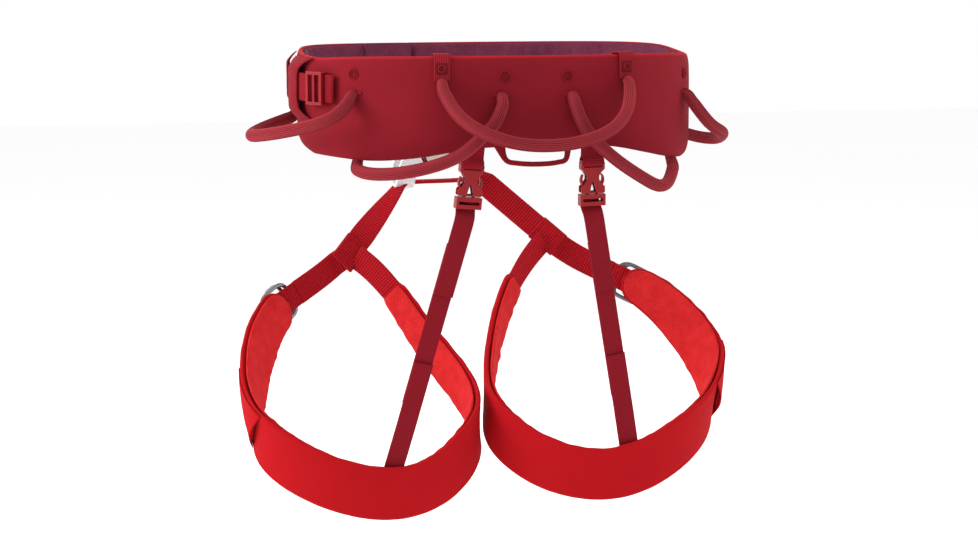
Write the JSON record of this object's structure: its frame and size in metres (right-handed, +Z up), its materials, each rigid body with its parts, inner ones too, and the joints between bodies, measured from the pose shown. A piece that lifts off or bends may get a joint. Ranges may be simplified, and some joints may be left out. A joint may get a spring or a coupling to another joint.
{
  "type": "climbing sit harness",
  "caption": "Padded climbing sit harness with a waistbelt, gear loops, belay loop, adjustable leg loops and clip-on elastic rear straps.",
  "frame": {"origin": "centre of the waist opening, halfway up the front of the belt's buckle strap less 12 mm", "axes": "+X to the wearer's right, +Y forwards, +Z up"},
  "size_m": [0.3935, 0.2634, 0.3409],
  "materials": {
    "belay_sleeve": "dense wear fabric",
    "belay_webbing": "woven webbing",
    "belt_fabric": "matt woven polyester",
    "buckle_plastic": "moulded acetal",
    "cord_sheath": "braided sheath",
    "dark_webbing": "woven webbing",
    "elastic": "woven elastic",
    "foam": "closed-cell foam",
    "leg_fabric": "matt woven polyester",
    "leg_lining": "soft knitted lining",
    "leg_webbing": "ribbed webbing",
    "lining_mesh": "soft knitted mesh",
    "metal": "satin anodised"
  },
  "bodies": {
    "waistbelt": {"belt_outer_shell": "belt_fabric", "belt_foam_core": "foam", "belt_mesh_lining": "lining_mesh", "belt_end_flap": "lining_mesh", "waist_webbing": "dark_webbing", "waist_buckle_webbing": "dark_webbing", "waist_strap_tail": "dark_webbing", "hip_strap_keeper": "dark_webbing", "front_strap_keeper": "dark_webbing", "waist_buckle_frame": "metal", "stitched_anchor_rings": "dark_webbing", "centre_loop_tabs": "dark_webbing", "waist_tie_in_loop": "leg_webbing", "leg_bridge_webbing": "leg_webbing"},
    "waist_tilt_bar": {"waist_buckle_tilt_bar": "metal"},
    "hip_slider": {"strap_slider": "buckle_plastic"},
    "belay": {"belay_loop": "belay_webbing", "belay_loop_sleeve": "belay_sleeve"},
    "haul": {"haul_loop": "dark_webbing"},
    "left_front_loop_body": {"left_front_gear_loop": "cord_sheath"},
    "right_front_loop_body": {"right_front_gear_loop": "cord_sheath"},
    "left_rear_loop_body": {"left_rear_gear_loop": "cord_sheath"},
    "right_rear_loop_body": {"right_rear_gear_loop": "cord_sheath"},
    "centre_loop_body": {"centre_gear_loop": "cord_sheath"},
    "left_leg": {"left_leg_pad": "leg_fabric", "left_leg_lining": "leg_lining", "left_inner_webbing": "leg_webbing", "left_outer_webbing": "leg_webbing", "left_leg_buckle_frame": "metal", "left_leg_strap_tail": "leg_webbing", "left_leg_strap_keeper": "leg_fabric", "left_upper_webbing": "leg_webbing", "left_webbing_junction": "leg_webbing"},
    "left_leg_tilt": {"left_leg_buckle_tilt_bar": "metal"},
    "left_hanger": {"left_rear_tab": "dark_webbing", "left_female_buckle": "buckle_plastic"},
    "left_male": {"left_male_buckle": "buckle_plastic", "left_elastic_fold": "elastic"},
    "left_arm_outer": {"left_buckle_arm_outer": "buckle_plastic"},
    "left_arm_inner": {"left_buckle_arm_inner": "buckle_plastic"},
    "left_elastic_upper": {"left_elastic_middle": "elastic"},
    "left_elastic_lower": {"left_elastic_end": "elastic"},
    "right_leg": {"right_leg_pad": "leg_fabric", "right_leg_lining": "leg_lining", "right_inner_webbing": "leg_webbing", "right_outer_webbing": "leg_webbing", "right_leg_buckle_frame": "metal", "right_leg_strap_tail": "leg_webbing", "right_leg_strap_keeper": "leg_fabric", "right_upper_webbing": "leg_webbing", "right_webbing_junction": "leg_webbing"},
    "right_leg_tilt": {"right_leg_buckle_tilt_bar": "metal"},
    "right_hanger": {"right_rear_tab": "dark_webbing", "right_female_buckle": "buckle_plastic"},
    "right_male": {"right_male_buckle": "buckle_plastic", "right_elastic_fold": "elastic"},
    "right_arm_outer": {"right_buckle_arm_outer": "buckle_plastic"},
    "right_arm_inner": {"right_buckle_arm_inner": "buckle_plastic"},
    "right_elastic_upper": {"right_elastic_middle": "elastic"},
    "right_elastic_lower": {"right_elastic_end": "elastic"}
  },
  "joints": [
    {"name": "left_front_gear_loop_swing", "type": "hinge", "parent": "waistbelt", "child": "left_front_loop_body", "pos_m": [-0.13373, -0.00823, -0.00425], "axis": [0.0955, -0.9849, 0.1444], "range_deg": [-4, 25], "stiffness_Nm_per_rad": 0.25},
    {"name": "right_front_gear_loop_swing", "type": "hinge", "parent": "waistbelt", "child": "right_front_loop_body", "pos_m": [0.13558, -0.00596, -0.00625], "axis": [0.068, 0.9887, -0.1335], "range_deg": [-4, 25], "stiffness_Nm_per_rad": 0.25},
    {"name": "left_rear_gear_loop_swing", "type": "hinge", "parent": "waistbelt", "child": "left_rear_loop_body", "pos_m": [-0.07417, -0.08467, -0.02005], "axis": [-0.8256, 0.3913, -0.4065], "range_deg": [0, 8], "stiffness_Nm_per_rad": 0.25},
    {"name": "right_rear_gear_loop_swing", "type": "hinge", "parent": "waistbelt", "child": "right_rear_loop_body", "pos_m": [0.07167, -0.08767, -0.02135], "axis": [-0.8196, -0.3556, 0.4493], "range_deg": [0, 8], "stiffness_Nm_per_rad": 0.25},
    {"name": "centre_gear_loop_swing", "type": "hinge", "parent": "waistbelt", "child": "centre_loop_body", "pos_m": [0, -0.10351, 0.0135], "axis": [-1, 0, 0], "range_deg": [-3, 60], "stiffness_Nm_per_rad": 0.25},
    {"name": "haul_loop_swing", "type": "hinge", "parent": "waistbelt", "child": "haul", "pos_m": [-0.001, -0.101, -0.0349], "axis": [-1, 0, 0], "range_deg": [-6, 40], "stiffness_Nm_per_rad": 0.03},
    {"name": "waist_tilt_bar_turn", "type": "hinge", "parent": "waistbelt", "child": "waist_tilt_bar", "pos_m": [-0.08527, 0.10275, 0.012], "axis": [0, 0, 1], "range_deg": [0, 30]},
    {"name": "hip_slider_slide", "type": "slide", "parent": "waistbelt", "child": "hip_slider", "axis": [-0.3737, 0.9275, 0], "range_m": [-0.006, 0.005]},
    {"name": "belay_loop_turn", "type": "hinge", "parent": "waistbelt", "child": "belay", "pos_m": [-0.018, 0.119, -0.047], "axis": [-0.7071, 0, -0.7071], "range_deg": [-5, 8]},
    {"name": "left_leg_swing", "type": "hinge", "parent": "waistbelt", "child": "left_leg", "pos_m": [-0.0396, 0.117, -0.0715], "axis": [1, 0, 0], "range_deg": [-8, 12], "stiffness_Nm_per_rad": 6},
    {"name": "left_hanger_swing", "type": "hinge", "parent": "waistbelt", "child": "left_hanger", "pos_m": [-0.0455, -0.0965, -0.0338], "axis": [1, 0, 0], "range_deg": [-5.58, 8.22]},
    {"name": "left_unclip", "type": "slide", "parent": "left_hanger", "child": "left_male", "axis": [-0.0887, 0.0626, -0.9941], "range_m": [0, 0.022]},
    {"name": "left_arm_outer_squeeze", "type": "hinge", "parent": "left_male", "child": "left_arm_outer", "pos_m": [-0.05345, -0.09471, -0.06215], "axis": [0, 0.998, 0.0629], "range_deg": [0, 14.2]},
    {"name": "left_arm_inner_squeeze", "type": "hinge", "parent": "left_male", "child": "left_arm_inner", "pos_m": [-0.04269, -0.09465, -0.06311], "axis": [0, 0.998, 0.0629], "range_deg": [-14.2, 0]},
    {"name": "left_elastic_slack", "type": "slide", "parent": "left_male", "child": "left_elastic_upper", "axis": [-0.0887, 0.0626, -0.9941], "range_m": [-0.022, 0]},
    {"name": "left_elastic_stretch", "type": "slide", "parent": "left_elastic_upper", "child": "left_elastic_lower", "axis": [-0.2236, 0.1881, -0.9564], "range_m": [-0.02971, 0.04432]},
    {"name": "left_leg_tilt_bar_turn", "type": "hinge", "parent": "left_leg", "child": "left_leg_tilt", "pos_m": [-0.15304, 0.0717, -0.16054], "axis": [-0.4911, -0.0136, 0.871], "range_deg": [0, 30]},
    {"name": "right_leg_swing", "type": "hinge", "parent": "waistbelt", "child": "right_leg", "pos_m": [0.023, 0.117, -0.069], "axis": [1, 0, 0], "range_deg": [-8, 12], "stiffness_Nm_per_rad": 6},
    {"name": "right_hanger_swing", "type": "hinge", "parent": "waistbelt", "child": "right_hanger", "pos_m": [0.0435, -0.0968, -0.0338], "axis": [1, 0, 0], "range_deg": [-5.59, 8.23]},
    {"name": "right_unclip", "type": "slide", "parent": "right_hanger", "child": "right_male", "axis": [0.026, 0.0703, -0.9972], "range_m": [0, 0.022]},
    {"name": "right_arm_outer_squeeze", "type": "hinge", "parent": "right_male", "child": "right_arm_outer", "pos_m": [0.04965, -0.09477, -0.06258], "axis": [0, 0.9975, 0.0703], "range_deg": [-14.2, 0]},
    {"name": "right_arm_inner_squeeze", "type": "hinge", "parent": "right_male", "child": "right_arm_inner", "pos_m": [0.03886, -0.09475, -0.06286], "axis": [0, 0.9975, 0.0703], "range_deg": [0, 14.2]},
    {"name": "right_elastic_slack", "type": "slide", "parent": "right_male", "child": "right_elastic_upper", "axis": [0.026, 0.0703, -0.9972], "range_m": [-0.022, 0]},
    {"name": "right_elastic_stretch", "type": "slide", "parent": "right_elastic_upper", "child": "right_elastic_lower", "axis": [0.2229, 0.1923, -0.9557], "range_m": [-0.02976, 0.0444]},
    {"name": "right_leg_tilt_bar_turn", "type": "hinge", "parent": "right_leg", "child": "right_leg_tilt", "pos_m": [0.14085, 0.07743, -0.15444], "axis": [-0.4635, -0.0251, -0.8857], "range_deg": [0, 30]}
  ],
  "couplings": [
    {"joint": "left_hanger_swing", "follows": "left_leg_swing", "ratio": 0.6601},
    {"joint": "left_arm_outer_squeeze", "follows": "left_unclip", "rad_per_m": 11.107},
    {"joint": "left_arm_inner_squeeze", "follows": "left_unclip", "rad_per_m": -11.107},
    {"joint": "left_elastic_slack", "follows": "left_unclip", "ratio": -1},
    {"joint": "left_elastic_stretch", "follows": "left_leg_swing", "m_per_rad": 0.20922},
    {"joint": "right_hanger_swing", "follows": "right_leg_swing", "ratio": 0.661},
    {"joint": "right_arm_outer_squeeze", "follows": "right_unclip", "rad_per_m": -11.107},
    {"joint": "right_arm_inner_squeeze", "follows": "right_unclip", "rad_per_m": 11.107},
    {"joint": "right_elastic_slack", "follows": "right_unclip", "ratio": -1},
    {"joint": "right_elastic_stretch", "follows": "right_leg_swing", "m_per_rad": 0.20959}
  ]
}
